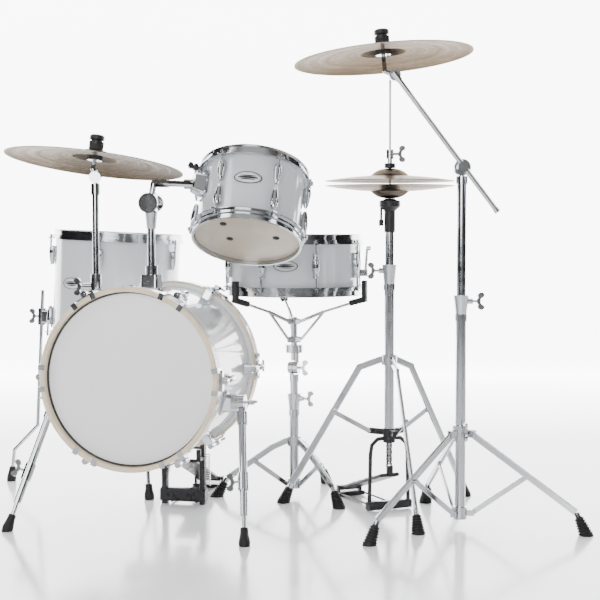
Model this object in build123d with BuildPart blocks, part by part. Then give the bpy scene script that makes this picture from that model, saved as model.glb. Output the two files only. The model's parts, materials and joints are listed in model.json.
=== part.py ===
"""Compact drum kit: bass drum, rack tom, floor tom, snare, hi-hat, crash and ride cymbals.

Millimetres, +Z up. The bass drum's axis lies along Y, with its front head towards -Y.
The origin is on the floor, under the middle of the whole kit.
"""

import os
from math import cos, radians, sin, sqrt

from build123d import *

# Stations on the floor plan -------------------------------------------------
BASS = Vector(-237.4, -247.5, 375.5)
TOM = BASS + Vector(237, 42, 407.5)
FLOOR_TOM = BASS + Vector(-271, 497, 184.5)
SNARE = BASS + Vector(266, 408, 255.5)
HIHAT = Vector(BASS.X + 547, BASS.Y + 270, 0)
BOOM = Vector(BASS.X + 747, BASS.Y + 104, 0)
VIEW_TURN = 12  # the boom arm and the cymbals are set square to this heading

# Drum sizes (shell radius and depth) ----------------------------------------
BASS_RADIUS, BASS_DEPTH = 203, 356
TOM_RADIUS, TOM_DEPTH = 127, 174
FLOOR_TOM_RADIUS, FLOOR_TOM_DEPTH = 176, 292
SNARE_RADIUS, SNARE_DEPTH = 176, 140
SHELL_WALL = 6
HOOP_RISE = 11  # how far a metal hoop stands above its bearing edge
WOOD_HOOP_OUTER, WOOD_HOOP_INNER, WOOD_HOOP_WIDTH = 218, 206.2, 38
WOOD_HOOP_PROUD = 24

# Cymbals ---------------------------------------------------------------------
CRASH_RADIUS = RIDE_RADIUS = 216
HIHAT_RADIUS = 165
CYMBAL_SKIN = 1.4
CYMBAL_HOLE = 6.5

# Fits -------------------------------------------------------------------------
RUNNING = 0.05
GAP = 0.5
PIN = 3


def radial(angle):
    """Unit vector in the floor plan at an angle in degrees."""
    return Vector(cos(radians(angle)), sin(radians(angle)), 0)


def at(centre, radius, angle, height):
    """Point beside a vertical line through centre."""
    return Vector(centre.X, centre.Y, height) + radial(angle) * radius


def above(centre, height):
    """Point on the vertical line through centre."""
    return Vector(centre.X, centre.Y, height)


def bar(start, end, radius, bore=0.0, mode=Mode.ADD):
    """Round bar or tube between two points."""
    with BuildSketch(Plane(start, z_dir=end - start)) as section:
        Circle(radius)
        if bore:
            Circle(bore, mode=Mode.SUBTRACT)
    extrude(section.sketch, amount=(end - start).length, mode=mode)


def strip(start, end, side, thickness, width, mode=Mode.ADD):
    """Flat bar between two points, its thickness along side."""
    with BuildSketch(Plane(start, x_dir=side, z_dir=end - start)) as section:
        RectangleRounded(thickness, width, min(thickness, width) * 0.3)
    extrude(section.sketch, amount=(end - start).length, mode=mode)


def ball(centre, radius):
    """Sphere at a point."""
    with Locations(centre):
        Sphere(radius)


def profile_plane(base):
    """Plane through base's axis: its x is base's x and its y is base's normal."""
    return Plane(base.origin, x_dir=base.x_dir, z_dir=-base.y_dir)


def spin(base, outline, mode=Mode.ADD):
    """Turned shape about base's normal, from (radius, height) points."""
    with BuildSketch(profile_plane(base)) as section:
        with BuildLine():
            Polyline(*outline, close=True)
        make_face()
    revolve(section.sketch, axis=Axis(base.origin, base.z_dir), mode=mode)


def plate(base, length, width, thickness, corner=3.0):
    """Rounded plate standing on a plane."""
    with BuildSketch(base) as section:
        RectangleRounded(length, width, corner)
    extrude(section.sketch, amount=thickness)


def wing_bolt(base, reach=12):
    """Screw standing out along the plane's normal, with a two-lobed wing along its x."""
    bar(base.origin, base.origin + base.z_dir * (reach + 1), 3.2)
    half = [(4, 0), (8, 3), (14, 1.5), (19, 4), (21.5, 9), (20.5, 15), (16, 18.5), (11, 17), (7, 11), (4, 9)]
    with BuildSketch(profile_plane(base.offset(reach))) as wings:
        with BuildLine():
            Polyline(*half, *[(-x, y) for x, y in reversed(half)], close=True)
        make_face()
    extrude(wings.sketch, amount=3, both=True)


def pedestal(ground, lean, height=46, wide=17, ribs=7):
    """Ribbed rubber foot from the floor up along lean; the caller trims it at the floor."""
    rib = height / ribs
    outline = [(0, -10), (wide - 1, -10), (wide - 1, 0)]
    for index in range(ribs):
        radius = wide - index * 0.9
        low = index * rib
        outline += [(radius, low + 0.15 * rib), (radius, low + 0.6 * rib)]
        outline += [(radius - 3, low + 0.7 * rib), (radius - 3, low + rib)]
    outline.append((0, height))
    spin(Plane(ground, z_dir=lean), outline)


def bell_foot(ground, up, bore):
    """Smooth bell-shaped rubber tip for a drum leg, with a blind socket for the leg."""
    outline = [(0, -8), (11, -8), (13, 2), (13.6, 8), (12.6, 16), (10, 28), (9, 42)]
    outline += [(bore, 42), (bore, 16), (0, 16)]
    spin(Plane(ground, z_dir=up), outline)


def trim_to_floor():
    """Cut away everything under the floor."""
    split(bisect_by=Plane.XY, keep=Keep.TOP)


def save(builder, name):
    """Label a finished piece and write its STEP file."""
    builder.part.label = name
    export_step(builder.part, f"parts/{name}.step")


# ------------------------------------------------------------------------------
# Drums
# ------------------------------------------------------------------------------
def drum_ends(base, depth):
    """Planes at the two bearing edges, each with its normal pointing out of the drum."""
    top = base.offset(depth / 2)
    low = base.offset(-depth / 2)
    return top, Plane(low.origin, x_dir=low.x_dir, z_dir=-low.z_dir)


def drum_shell(base, radius, depth):
    """Ply shell with bearing edges cut at 45 degrees on the inside."""
    inner = radius - SHELL_WALL
    half = depth / 2
    outline = [(inner, 4 - half), (radius - 2, -half), (radius, -half)]
    outline += [(radius, half), (radius - 2, half), (inner, half - 4)]
    spin(base, outline)


def drum_head(end, radius, collar=10):
    """Film, collar and flesh hoop of one head."""
    film, side = radius + 1.6, radius + 0.4
    outline = [(0, 0.1), (side, 0.1), (side, -collar), (radius + 6, -collar)]
    outline += [(radius + 6, 5 - collar), (film, 5 - collar), (film, 0.9), (0, 0.9)]
    spin(end, outline)


def metal_hoop(end, radius, lug_angles):
    """Triple-flanged hoop with a hole in its lower flange for each tension rod."""
    lip, wall = radius + 2.4, 1.7
    low, step = -14, -4.9
    outline = [(radius + 6.4, low), (radius + 14, low), (radius + 14, low + wall)]
    outline += [(radius + 6.4 + wall, low + wall), (radius + 6.4 + wall, step + wall)]
    outline += [(lip + wall, step + wall), (lip + wall, HOOP_RISE - wall)]
    outline += [(lip + 5.5, HOOP_RISE - wall), (lip + 5.5, HOOP_RISE), (lip, HOOP_RISE)]
    outline += [(lip, step), (radius + 6.4, step)]
    spin(end, outline)
    for angle in lug_angles:
        seat = rod_point(end, radius, angle, low)
        strip(seat - end.z_dir * 0.6, seat + end.z_dir * 2.4, radial_in(end, angle), 15, 20)
    for angle in lug_angles:
        hole = rod_point(end, radius, angle, low - 4)
        bar(hole, hole + end.z_dir * 12, 3.0, mode=Mode.SUBTRACT)
    clear = end.offset(low - 2)
    with BuildSketch(clear) as shell_space:
        Circle(radius + 6.4)
    extrude(shell_space.sketch, amount=step - low + 2, mode=Mode.SUBTRACT)


def radial_in(plane, angle):
    """Unit vector in a plane at an angle from its x."""
    return plane.x_dir * cos(radians(angle)) + plane.y_dir * sin(radians(angle))


def rod_point(end, radius, angle, height):
    """Point on a tension rod's line, beside the shell."""
    return end.origin + radial_in(end, angle) * (radius + 12.6) + end.z_dir * height


def tension_rod(end, radius, angle, length):
    """Tension rod with its square head and washer above the hoop's flange."""
    top = rod_point(end, radius, angle, -10.8)
    bar(top + end.z_dir * 1.5, top - end.z_dir * length, 2.7)
    bar(top, top + end.z_dir * 2, 4.2)
    strip(top + end.z_dir * 2, top + end.z_dir * 9, radial_in(end, angle), 6, 6)


def turned_lug(base, radius, angle, height, outline):
    """Cast lug with a round section, standing half out of the shell's surface."""
    centre = base.origin + radial_in(base, angle) * (radius + 7) + base.z_dir * height
    spin(Plane(centre, x_dir=radial_in(base, angle), z_dir=base.z_dir), outline)


def single_lug(end, radius, angle, reach):
    """Drop-shaped lug whose wide end takes the rod at depth reach below the edge."""
    drop = [(0, -27), (4.5, -26), (7, -18), (8.8, -6), (10.2, 6), (10.4, 14), (9, 22), (7.2, 26), (0, 27)]
    turned_lug(end, radius, angle, -reach - 25, drop)


def double_lug(base, radius, angle):
    """Double-ended lug at the middle of a shell."""
    half = [(10.4, 5), (9.6, 13), (7.6, 19), (7.2, 26), (8, 30), (6.5, 33), (0, 33.5)]
    turned_lug(base, radius, angle, 0, [(x, -y) for x, y in reversed(half)] + half)


def clear_of_shell(base, radius):
    """Cuts a node's pieces back to just outside a drum's shell."""
    reach = base.z_dir * 200
    bar(base.origin - reach, base.origin + reach, radius + 0.15, mode=Mode.SUBTRACT)


# Bass drum ---------------------------------------------------------------------
BASS_BASE = Plane(BASS, x_dir=(1, 0, 0), z_dir=(0, -1, 0))  # normal points out of the front
BASS_LUG_ANGLES = [60 * index for index in range(6)]
CLAW_SPREAD = 7
BASS_ROD_RADIUS = 229
POST_RADIUS = 9.5
TOM_POST = Vector(BASS.X - 4, BASS.Y - 3, 0)
CRASH_POST = Vector(BASS.X - 119.3, BASS.Y - 80.7, 0)
CRASH_TUBE_RADIUS = 7.95
front_end, rear_end = drum_ends(BASS_BASE, BASS_DEPTH)
hoop_low = WOOD_HOOP_PROUD - WOOD_HOOP_WIDTH

with BuildPart() as bass_shell:
    drum_shell(BASS_BASE, BASS_RADIUS, BASS_DEPTH)
    bar(above(TOM_POST, BASS.Z + 150), above(TOM_POST, BASS.Z + 220), 11, mode=Mode.SUBTRACT)

with BuildPart() as bass_hoops:
    for end in (front_end, rear_end):
        rim = [(WOOD_HOOP_INNER, hoop_low), (WOOD_HOOP_OUTER, hoop_low)]
        rim += [(WOOD_HOOP_OUTER, WOOD_HOOP_PROUD - 2), (WOOD_HOOP_OUTER - 2, WOOD_HOOP_PROUD)]
        rim += [(WOOD_HOOP_INNER + 1, WOOD_HOOP_PROUD), (WOOD_HOOP_INNER, WOOD_HOOP_PROUD - 1)]
        spin(end, rim)

with BuildPart() as bass_heads:
    for end in (front_end, rear_end):
        film, side, ring = BASS_RADIUS + 1.6, BASS_RADIUS + 0.4, BASS_RADIUS + 9
        head = [(0, 0.1), (side, 0.1), (side, hoop_low - 6), (ring, hoop_low - 6)]
        head += [(ring, hoop_low - 0.2), (film, hoop_low - 0.2), (film, 1.1), (0, 1.1)]
        spin(end, head)


def bass_claw(end, angle):
    """Claw over the wooden hoop: two fingers, a saddle and the eye for its rod."""
    out = radial_in(end, angle)
    rise = end.z_dir
    side = rise.cross(out)
    inner, outer = WOOD_HOOP_OUTER + 0.4, WOOD_HOOP_OUTER + 3.4
    low, high = hoop_low + 0.5, WOOD_HOOP_PROUD + 3.2
    hook = [(inner, low), (outer, low), (outer, high), (inner - 13, high)]
    hook += [(inner - 13, high - 2.8), (inner, high - 2.8)]
    for turn in (-CLAW_SPREAD, CLAW_SPREAD):
        finger = radial_in(end, angle + turn)
        with BuildSketch(Plane(end.origin, x_dir=finger, z_dir=finger.cross(rise))) as profile:
            with BuildLine():
                Polyline(*hook, close=True)
            make_face()
        extrude(profile.sketch, amount=6, both=True)
    saddle = end.origin + out * (WOOD_HOOP_OUTER + 3.4) + rise * (hoop_low + 2)
    strip(saddle, saddle + rise * 13, side, 50, 5)
    eye = end.origin + out * BASS_ROD_RADIUS + rise * (hoop_low + 1)
    bar(eye, eye + rise * 15, 8)


def bass_lug(end, angle):
    """Small box lug with the threaded barrel that takes the claw's rod."""
    out = radial_in(end, angle)
    rise = end.z_dir
    base = end.origin + out * (BASS_RADIUS + 0.6) + rise * (hoop_low - 46)
    with BuildSketch(Plane(base, x_dir=rise.cross(out), z_dir=out)) as foot:
        RectangleRounded(26, 34, 5)
    extrude(foot.sketch, amount=20, taper=8)
    barrel = end.origin + out * BASS_ROD_RADIUS + rise * (hoop_low - 60)
    bar(barrel, barrel + rise * 28, 7.5)


with BuildPart() as bass_lugs:
    for end in (front_end, rear_end):
        for angle in BASS_LUG_ANGLES:
            bass_lug(end, angle)

with BuildPart() as bass_claws:
    for end in (front_end, rear_end):
        for angle in BASS_LUG_ANGLES:
            bass_claw(end, angle)
            rod = end.origin + radial_in(end, angle) * BASS_ROD_RADIUS
            bar(rod + end.z_dir * (hoop_low - 32), rod + end.z_dir * (hoop_low + 18), 3)
    for angle in BASS_LUG_ANGLES:
        grip = rear_end.origin + radial_in(rear_end, angle) * BASS_ROD_RADIUS
        grip += rear_end.z_dir * (hoop_low + 17)
        bar(grip, grip + rear_end.z_dir * 25, 4.2)
        cross = radial_in(rear_end, angle + 90) * 15
        head = grip + rear_end.z_dir * 22
        bar(head - cross, head + cross, 3.2)

SPUR_PIVOT_SIDE, SPUR_PIVOT_BACK, SPUR_PIVOT_HEIGHT = 238, -53, 312
SPUR_FEET = {
    "left": Vector(BASS.X - 317, BASS.Y - 175, 0),
    "right": Vector(BASS.X + 283, BASS.Y - 209, 0),
}
SPUR_SIDES = {"left": -1, "right": 1}


def spur_pivot(side):
    """Centre of a spur's folding joint."""
    out = SPUR_SIDES[side] * SPUR_PIVOT_SIDE
    return Vector(BASS.X + out, BASS.Y + SPUR_PIVOT_BACK, SPUR_PIVOT_HEIGHT)


with BuildPart() as bass_brackets:
    # Tom post holder on top of the shell
    holder = Plane(above(TOM_POST, BASS.Z + BASS_RADIUS + 0.3))
    plate(holder, 62, 66, 5, 8)
    with BuildSketch(holder.offset(5)) as block_low:
        RectangleRounded(46, 50, 8)
    extrude(block_low.sketch, amount=32, taper=4)
    bar(above(TOM_POST, BASS.Z + 240), above(TOM_POST, BASS.Z + 262), 15)
    wing_bolt(Plane(above(TOM_POST, BASS.Z + 226) + Vector(0, 20, 0), z_dir=(0, 1, 0)), 10)
    bar(holder.origin, above(TOM_POST, BASS.Z + 270), POST_RADIUS + RUNNING, mode=Mode.SUBTRACT)
    # Cymbal holder behind the front hoop
    lean = Vector(CRASH_POST.X - BASS.X, 0, 0)
    lean = Vector(lean.X, 0, sqrt(BASS_RADIUS**2 - lean.X**2)).normalized()
    seat = Vector(BASS.X, CRASH_POST.Y, BASS.Z) + lean * (BASS_RADIUS + 0.8)
    plate(Plane(seat, x_dir=(0, 1, 0), z_dir=lean), 36, 62, 5, 6)
    plate(Plane(seat, x_dir=(0, 1, 0), z_dir=lean).offset(4), 28, 30, 22, 6)
    bar(above(CRASH_POST, BASS.Z + 182), above(CRASH_POST, BASS.Z + 243), 13)
    eye = above(CRASH_POST, BASS.Z + 212) + Vector(-10, 0, 0)
    bar(eye, eye - Vector(22, 0, 0), 9)
    wing_bolt(Plane(eye - Vector(20, 0, 0), x_dir=(0, 0, 1), z_dir=(-1, 0, 0)), 8)
    bar(
        above(CRASH_POST, BASS.Z + 196), above(CRASH_POST, BASS.Z + 250),
        CRASH_TUBE_RADIUS + RUNNING, mode=Mode.SUBTRACT,
    )
    # Spur joints on the two sides
    for side, sign in SPUR_SIDES.items():
        pivot = spur_pivot(side)
        drop = SPUR_PIVOT_HEIGHT - BASS.Z
        out = Vector(sign * sqrt(BASS_RADIUS**2 - drop**2), 0, drop).normalized()
        seat = Vector(BASS.X, pivot.Y, BASS.Z) + out * (BASS_RADIUS + 1)
        face = Plane(seat, x_dir=(0, 1, 0), z_dir=out)
        plate(face, 48, 62, 5, 8)
        with BuildSketch(face.offset(4)) as horn:
            RectangleRounded(38, 48, 9)
        extrude(horn.sketch, amount=16, taper=16)
        bar(seat + out * 10, pivot - Vector(sign * 12.5, 0, 0), 12)
        bar(pivot - Vector(sign * 24, 0, 0), pivot - Vector(sign * 10.5, 0, 0), 19)


def spur(side):
    """Spur leg: joint disc with its wing bolt, outer tube, clamp, inner rod and rubber tip."""
    sign = SPUR_SIDES[side]
    pivot, foot = spur_pivot(side), SPUR_FEET[side]
    down = (foot - pivot).normalized()
    reach = (foot - pivot).length
    bar(pivot - Vector(sign * 10, 0, 0), pivot + Vector(sign * 8, 0, 0), 19)
    wing_bolt(Plane(pivot + Vector(sign * 8, 0, 0), x_dir=(0, 1, 0), z_dir=(sign, 0, 0)), 8)
    bar(pivot, pivot + down * 40, 8.5)
    bar(pivot + down * 26, pivot + down * 56, 13)
    bar(pivot + down * 40, foot - down * 72, 9.5)
    clamp = pivot + down * (reach * 0.56)
    bar(clamp - down * 20, clamp + down * 22, 13)
    aside = down.cross(Vector(0, 1, 0)).normalized() * -1
    wing_bolt(Plane(clamp + aside * 12, x_dir=down, z_dir=aside), 10)
    bar(foot - down * 80, foot - down * 16.2, 5.5)
    bell_foot(foot, pivot - foot, 5.5)
    trim_to_floor()


with BuildPart() as left_spur:
    spur("left")
with BuildPart() as right_spur:
    spur("right")


# Cymbals and their holders ------------------------------------------------------
def cymbal(base, radius, bow, bell_radius, bell_height):
    """Bowed plate with a bell; base lies on the rim's plane at the centre."""
    lift = (0, CYMBAL_SKIN)
    with BuildSketch(profile_plane(base)) as section:
        with BuildLine():
            for skin in lift:
                middle = ((radius + bell_radius) / 2, bow * 0.62 + skin)
                ThreePointArc((radius, skin), middle, (bell_radius, bow + skin))
                crown = (CYMBAL_HOLE, bow + bell_height + skin)
                shoulder = (bell_radius * 0.72, bow + bell_height * 0.62 + skin)
                ThreePointArc((bell_radius, bow + skin), shoulder, crown)
            Line((radius, 0), (radius, CYMBAL_SKIN))
            Line((CYMBAL_HOLE, bow + bell_height), (CYMBAL_HOLE, bow + bell_height + CYMBAL_SKIN))
        make_face()
    revolve(section.sketch, axis=Axis(base.origin, base.z_dir))


def leaning(origin, right, away):
    """Plane leaning by two angles, set square to the kit's viewing heading."""
    across, depth = radial(VIEW_TURN), radial(VIEW_TURN + 90)
    normal = across * sin(radians(right)) + depth * sin(radians(away)) + Vector(0, 0, 1)
    normal = normal.normalized()
    return Plane(origin, x_dir=depth.cross(normal), z_dir=normal)


ROD = 3.9
BELL_RADIUS, BOW, BELL_HEIGHT = 56, 14, 19
CRASH_RIM = leaning(above(CRASH_POST, 884) + Vector(-5, 6, 0), 6.4, 6.5)
RIDE_RIM = leaning(at(BOOM, -190, VIEW_TURN, 1136), -4.9, 3.4)
CRASH_JOINT = Vector(CRASH_POST.X, CRASH_POST.Y, 852)
RIDE_JOINT = at(BOOM, -164, VIEW_TURN, 1096)
DEPTH_WAY = radial(VIEW_TURN + 90)


def tilter_head(joint, rim, drop):
    """Moving half of a cymbal tilter: disc, bent stem, seat washer and grooved top nut."""
    normal = rim.z_dir
    seat = rim.origin + normal * (BOW + BELL_HEIGHT - 24)
    root = joint - DEPTH_WAY * 6.4
    bar(joint - DEPTH_WAY * 12, joint - DEPTH_WAY * 0.6, 14)
    elbow = seat - normal * drop
    elbow -= DEPTH_WAY * (elbow - root).dot(DEPTH_WAY)
    bar(root, elbow, 5.4)
    ball(elbow, 5.4)
    bar(elbow, seat, 5.4)
    bar(seat, seat + normal * 3, 18.5)
    top = rim.origin + normal * (BOW + BELL_HEIGHT + CYMBAL_SKIN + 13)
    bar(seat, top + normal * 20, ROD)
    knob = Plane(top, x_dir=rim.x_dir, z_dir=normal)
    spin(knob, [(0, 0), (18, 0), (18, 7), (13.5, 8.5), (13.5, 11), (18, 12.5), (18, 21), (15, 24), (0, 24)])


def cymbal_felts(rim):
    """Felt washers under and over the bell, split by the plastic sleeve's gap."""
    normal = rim.z_dir
    seat = rim.origin + normal * (BOW + BELL_HEIGHT - 20.8)
    bar(seat, seat + normal * 13, 18.5, ROD + 0.4)
    top = rim.origin + normal * (BOW + BELL_HEIGHT + CYMBAL_SKIN + 0.4)
    bar(top, top + normal * 12.3, 17.5, ROD + 0.4)


with BuildPart() as crash_tube:
    bar(above(CRASH_POST, BASS.Z + 198), CRASH_JOINT - Vector(0, 0, 20), CRASH_TUBE_RADIUS)
    bar(CRASH_JOINT - Vector(0, 0, 42), CRASH_JOINT - Vector(0, 0, 15), 11)
    bar(CRASH_JOINT + DEPTH_WAY * 0.6, CRASH_JOINT + DEPTH_WAY * 12, 14)
    neck = CRASH_JOINT + DEPTH_WAY * 6.3
    bar(neck - Vector(0, 0, 22), neck, 5.5)
    wing_bolt(Plane(CRASH_JOINT + DEPTH_WAY * 12, x_dir=(0, 0, 1), z_dir=DEPTH_WAY), 8)
with BuildPart() as crash_tilter:
    tilter_head(CRASH_JOINT, CRASH_RIM, 20)
with BuildPart() as crash_felts:
    cymbal_felts(CRASH_RIM)
with BuildPart() as crash_cymbal:
    cymbal(CRASH_RIM, CRASH_RADIUS, BOW, BELL_RADIUS, BELL_HEIGHT)

# Rack tom ------------------------------------------------------------------------
TOM_LEAN = 26.6
TOM_BASE = Plane(TOM, x_dir=(1, 0, 0), z_dir=(0, sin(radians(TOM_LEAN)), cos(radians(TOM_LEAN))))
TOM_LUG_ANGLES = [-111 + 60 * index for index in range(6)]
BALL = above(TOM_POST, 791)
ARM_CORNER = BALL + Vector(6, 4, 49)
ARM_RADIUS = 7.6
BRACKET_ANGLE, BRACKET_RISE = 217, 16
tom_top, tom_low = drum_ends(TOM_BASE, TOM_DEPTH)
bracket_out = radial_in(TOM_BASE, BRACKET_ANGLE)
bracket_seat = TOM + bracket_out * (TOM_RADIUS + 0.3) + TOM_BASE.z_dir * BRACKET_RISE
ARM_END = bracket_seat + bracket_out * 14

with BuildPart() as tom_post:
    bar(above(TOM_POST, 505), BALL - Vector(0, 0, 22.9), POST_RADIUS)
    spin(Plane(above(TOM_POST, 728)), [(0, 0), (11.5, 0), (16, 40), (0, 40)])
    ball(BALL, 24)
    bar(BALL - Vector(0, 26, 0), BALL + Vector(0, 26, 0), 24.5)
    bar(BALL - Vector(30, 0, 0), BALL + Vector(30, 0, 0), 22.4, mode=Mode.SUBTRACT)
    strip(BALL + Vector(0, 0, 4), BALL + Vector(0, 0, 34), Vector(1, 0, 0), 22, 34, mode=Mode.SUBTRACT)
with BuildPart() as tom_arm:
    bar(BALL - Vector(15, 0, 0), BALL + Vector(15, 0, 0), 21.8)
    bar(BALL + Vector(0, 0, 10), ARM_CORNER, 8)
    ball(ARM_CORNER, 8)
    bar(ARM_CORNER, ARM_END, ARM_RADIUS)
    with BuildSketch(Plane(ARM_CORNER, z_dir=ARM_END - ARM_CORNER).offset(6)) as collar:
        RegularPolygon(11.5, 6)
    extrude(collar.sketch, amount=34)
with BuildPart() as tom_shell:
    drum_shell(TOM_BASE, TOM_RADIUS, TOM_DEPTH)
with BuildPart() as tom_hoops:
    metal_hoop(tom_top, TOM_RADIUS, TOM_LUG_ANGLES)
    metal_hoop(tom_low, TOM_RADIUS, [-angle for angle in TOM_LUG_ANGLES])
with BuildPart() as tom_heads:
    drum_head(tom_top, TOM_RADIUS)
    drum_head(tom_low, TOM_RADIUS)
with BuildPart() as tom_lugs:
    for angle in TOM_LUG_ANGLES:
        for end, turn in ((tom_top, angle), (tom_low, -angle)):
            single_lug(end, TOM_RADIUS, turn, 30)
            tension_rod(end, TOM_RADIUS, turn, 22)
    clear_of_shell(TOM_BASE, TOM_RADIUS)
with BuildPart() as tom_bracket:
    face = Plane(bracket_seat, x_dir=TOM_BASE.z_dir, z_dir=bracket_out)
    plate(face.offset(-3.4), 74, 48, 7.2, 14)
    with BuildSketch(face.offset(3)) as horn:
        RectangleRounded(56, 38, 11)
    extrude(horn.sketch, amount=26, taper=12)
    inward = (ARM_CORNER - ARM_END).normalized()
    bar(ARM_END + inward * 8, ARM_END + inward * 36, 12.8)
    for height in (12, 26):
        screw = bracket_seat + bracket_out * height + TOM_BASE.z_dir * 22
        wing_bolt(Plane(screw, x_dir=bracket_out, z_dir=TOM_BASE.z_dir), 12)
    bar(ARM_END - inward * 1.3, ARM_CORNER, ARM_RADIUS + RUNNING, mode=Mode.SUBTRACT)
    middle = TOM_BASE.z_dir * 70
    bar(TOM - middle, TOM + middle, TOM_RADIUS + 0.3, mode=Mode.SUBTRACT)

# Floor tom -------------------------------------------------------------------------
FLOOR_LEAN = leaning(FLOOR_TOM, 2.7, 0)
FLOOR_LUG_ANGLES = [-98 + 72 * index for index in range(5)]
LEG_ANGLES = {"left": 175, "front": -61, "rear": 62}
LEG_OUT, LEG_ROD = FLOOR_TOM_RADIUS + 38, 5
floor_top, floor_low = drum_ends(FLOOR_LEAN, FLOOR_TOM_DEPTH)

with BuildPart() as floor_tom_shell:
    drum_shell(FLOOR_LEAN, FLOOR_TOM_RADIUS, FLOOR_TOM_DEPTH)
with BuildPart() as floor_tom_hoops:
    metal_hoop(floor_top, FLOOR_TOM_RADIUS, FLOOR_LUG_ANGLES)
    metal_hoop(floor_low, FLOOR_TOM_RADIUS, [-angle for angle in FLOOR_LUG_ANGLES])
with BuildPart() as floor_tom_heads:
    drum_head(floor_top, FLOOR_TOM_RADIUS)
    drum_head(floor_low, FLOOR_TOM_RADIUS)
with BuildPart() as floor_tom_lugs:
    for angle in FLOOR_LUG_ANGLES:
        for end, turn in ((floor_top, angle), (floor_low, -angle)):
            single_lug(end, FLOOR_TOM_RADIUS, turn, 36)
            tension_rod(end, FLOOR_TOM_RADIUS, turn, 28)
    clear_of_shell(FLOOR_LEAN, FLOOR_TOM_RADIUS)


def leg_line(name, drop):
    """Point on a floor tom leg's straight upper run, drop below the drum's middle."""
    out = radial_in(FLOOR_LEAN, LEG_ANGLES[name])
    return FLOOR_TOM + out * LEG_OUT - FLOOR_LEAN.z_dir * drop


with BuildPart() as floor_tom_leg_brackets:
    for name, angle in LEG_ANGLES.items():
        out = radial_in(FLOOR_LEAN, angle)
        seat = FLOOR_TOM + out * (FLOOR_TOM_RADIUS + 0.6) - FLOOR_LEAN.z_dir * 94
        plate(Plane(seat, x_dir=FLOOR_LEAN.z_dir, z_dir=out), 58, 40, 5, 8)
        with BuildSketch(Plane(seat + out * 4, x_dir=FLOOR_LEAN.z_dir, z_dir=out)) as horn:
            RectangleRounded(44, 30, 8)
        extrude(horn.sketch, amount=30, taper=6)
        bar(leg_line(name, 118), leg_line(name, 70), 11)
        wing_bolt(Plane(leg_line(name, 94) + out * 9, x_dir=FLOOR_LEAN.z_dir, z_dir=out), 9)
    for name in LEG_ANGLES:
        bar(leg_line(name, 140), leg_line(name, 60), LEG_ROD + RUNNING, mode=Mode.SUBTRACT)


def floor_tom_leg(name):
    """Bent rod: straight through its bracket, out at the knee, then down to its tip."""
    knee_top, knee_low = leg_line(name, 408), leg_line(name, 480)
    out = radial_in(FLOOR_LEAN, LEG_ANGLES[name])
    knee_low += Vector(out.X, out.Y, 0) * 66
    foot = Vector(knee_low.X, knee_low.Y, 0) + Vector(out.X, out.Y, 0) * 10
    tip = foot + (knee_low - foot).normalized() * 16.2
    points = [leg_line(name, 18), knee_top, knee_low, tip]
    for start, end in zip(points, points[1:]):
        bar(start, end, LEG_ROD)
    for corner in (knee_top, knee_low):
        ball(corner, LEG_ROD)
    bell_foot(foot, knee_low - foot, LEG_ROD)
    trim_to_floor()


with BuildPart() as floor_tom_leg_left:
    floor_tom_leg("left")
with BuildPart() as floor_tom_leg_front:
    floor_tom_leg("front")
with BuildPart() as floor_tom_leg_rear:
    floor_tom_leg("rear")

# Snare drum --------------------------------------------------------------------------
SNARE_BASE = Plane(SNARE, x_dir=radial(VIEW_TURN), z_dir=(0, 0, 1))
SNARE_LUG_ANGLES = [-72 + 45 * index for index in range(8)]
STRAINER_ANGLE = -4
snare_top, snare_low = drum_ends(SNARE_BASE, SNARE_DEPTH)
strainer_out = radial_in(SNARE_BASE, STRAINER_ANGLE)
strainer_side = Vector(0, 0, 1).cross(strainer_out)
STRAINER_SEAT = SNARE + strainer_out * (SNARE_RADIUS + 0.5)
LEVER_PIVOT = STRAINER_SEAT + strainer_out * 16 - Vector(0, 0, 22)

with BuildPart() as snare_shell:
    drum_shell(SNARE_BASE, SNARE_RADIUS, SNARE_DEPTH)
with BuildPart() as snare_hoops:
    metal_hoop(snare_top, SNARE_RADIUS, SNARE_LUG_ANGLES)
    metal_hoop(snare_low, SNARE_RADIUS, [-angle for angle in SNARE_LUG_ANGLES])
with BuildPart() as snare_heads:
    drum_head(snare_top, SNARE_RADIUS)
    drum_head(snare_low, SNARE_RADIUS)
with BuildPart() as snare_lugs:
    for angle in SNARE_LUG_ANGLES:
        double_lug(SNARE_BASE, SNARE_RADIUS, angle)
        tension_rod(snare_top, SNARE_RADIUS, angle, 32)
        tension_rod(snare_low, SNARE_RADIUS, -angle, 32)
    clear_of_shell(SNARE_BASE, SNARE_RADIUS)
with BuildPart() as snare_strainer:
    plate(Plane(STRAINER_SEAT, x_dir=(0, 0, 1), z_dir=strainer_out), 74, 24, 3, 4)
    for side in (-1, 1):
        ear = STRAINER_SEAT + strainer_side * (8.5 * side) + strainer_out * 2
        strip(ear - Vector(0, 0, 22), ear + strainer_out * 20 - Vector(0, 0, 22), strainer_side, 3, 18)
    bar(LEVER_PIVOT - strainer_side * 10, LEVER_PIVOT + strainer_side * 10, 2.2)
    butt = SNARE - strainer_out * (SNARE_RADIUS + 0.5) - Vector(0, 0, 34)
    plate(Plane(butt, x_dir=(0, 0, 1), z_dir=-strainer_out), 34, 24, 9, 4)
with BuildPart() as snare_strainer_lever:
    top = LEVER_PIVOT + Vector(0, 0, 66) + strainer_out * 5
    strip(LEVER_PIVOT - Vector(0, 0, 6), top, strainer_side, 10, 7)
    bar(top - strainer_out * 2, top + strainer_out * 10, 6)
    bore = LEVER_PIVOT + strainer_side * 12
    bar(bore, LEVER_PIVOT - strainer_side * 12, 2.2 + RUNNING, mode=Mode.SUBTRACT)

# Stands: shared pieces ------------------------------------------------------------------
BASE_TUBE, UPPER_TUBE, TUBE_BORE = 12.7, 11.1, 11.6
LEG_THICK, LEG_WIDE, STAY_THICK, STAY_WIDE = 8, 17, 4, 13
FOOT_HEIGHT, ANKLE = 46, 13


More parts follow.
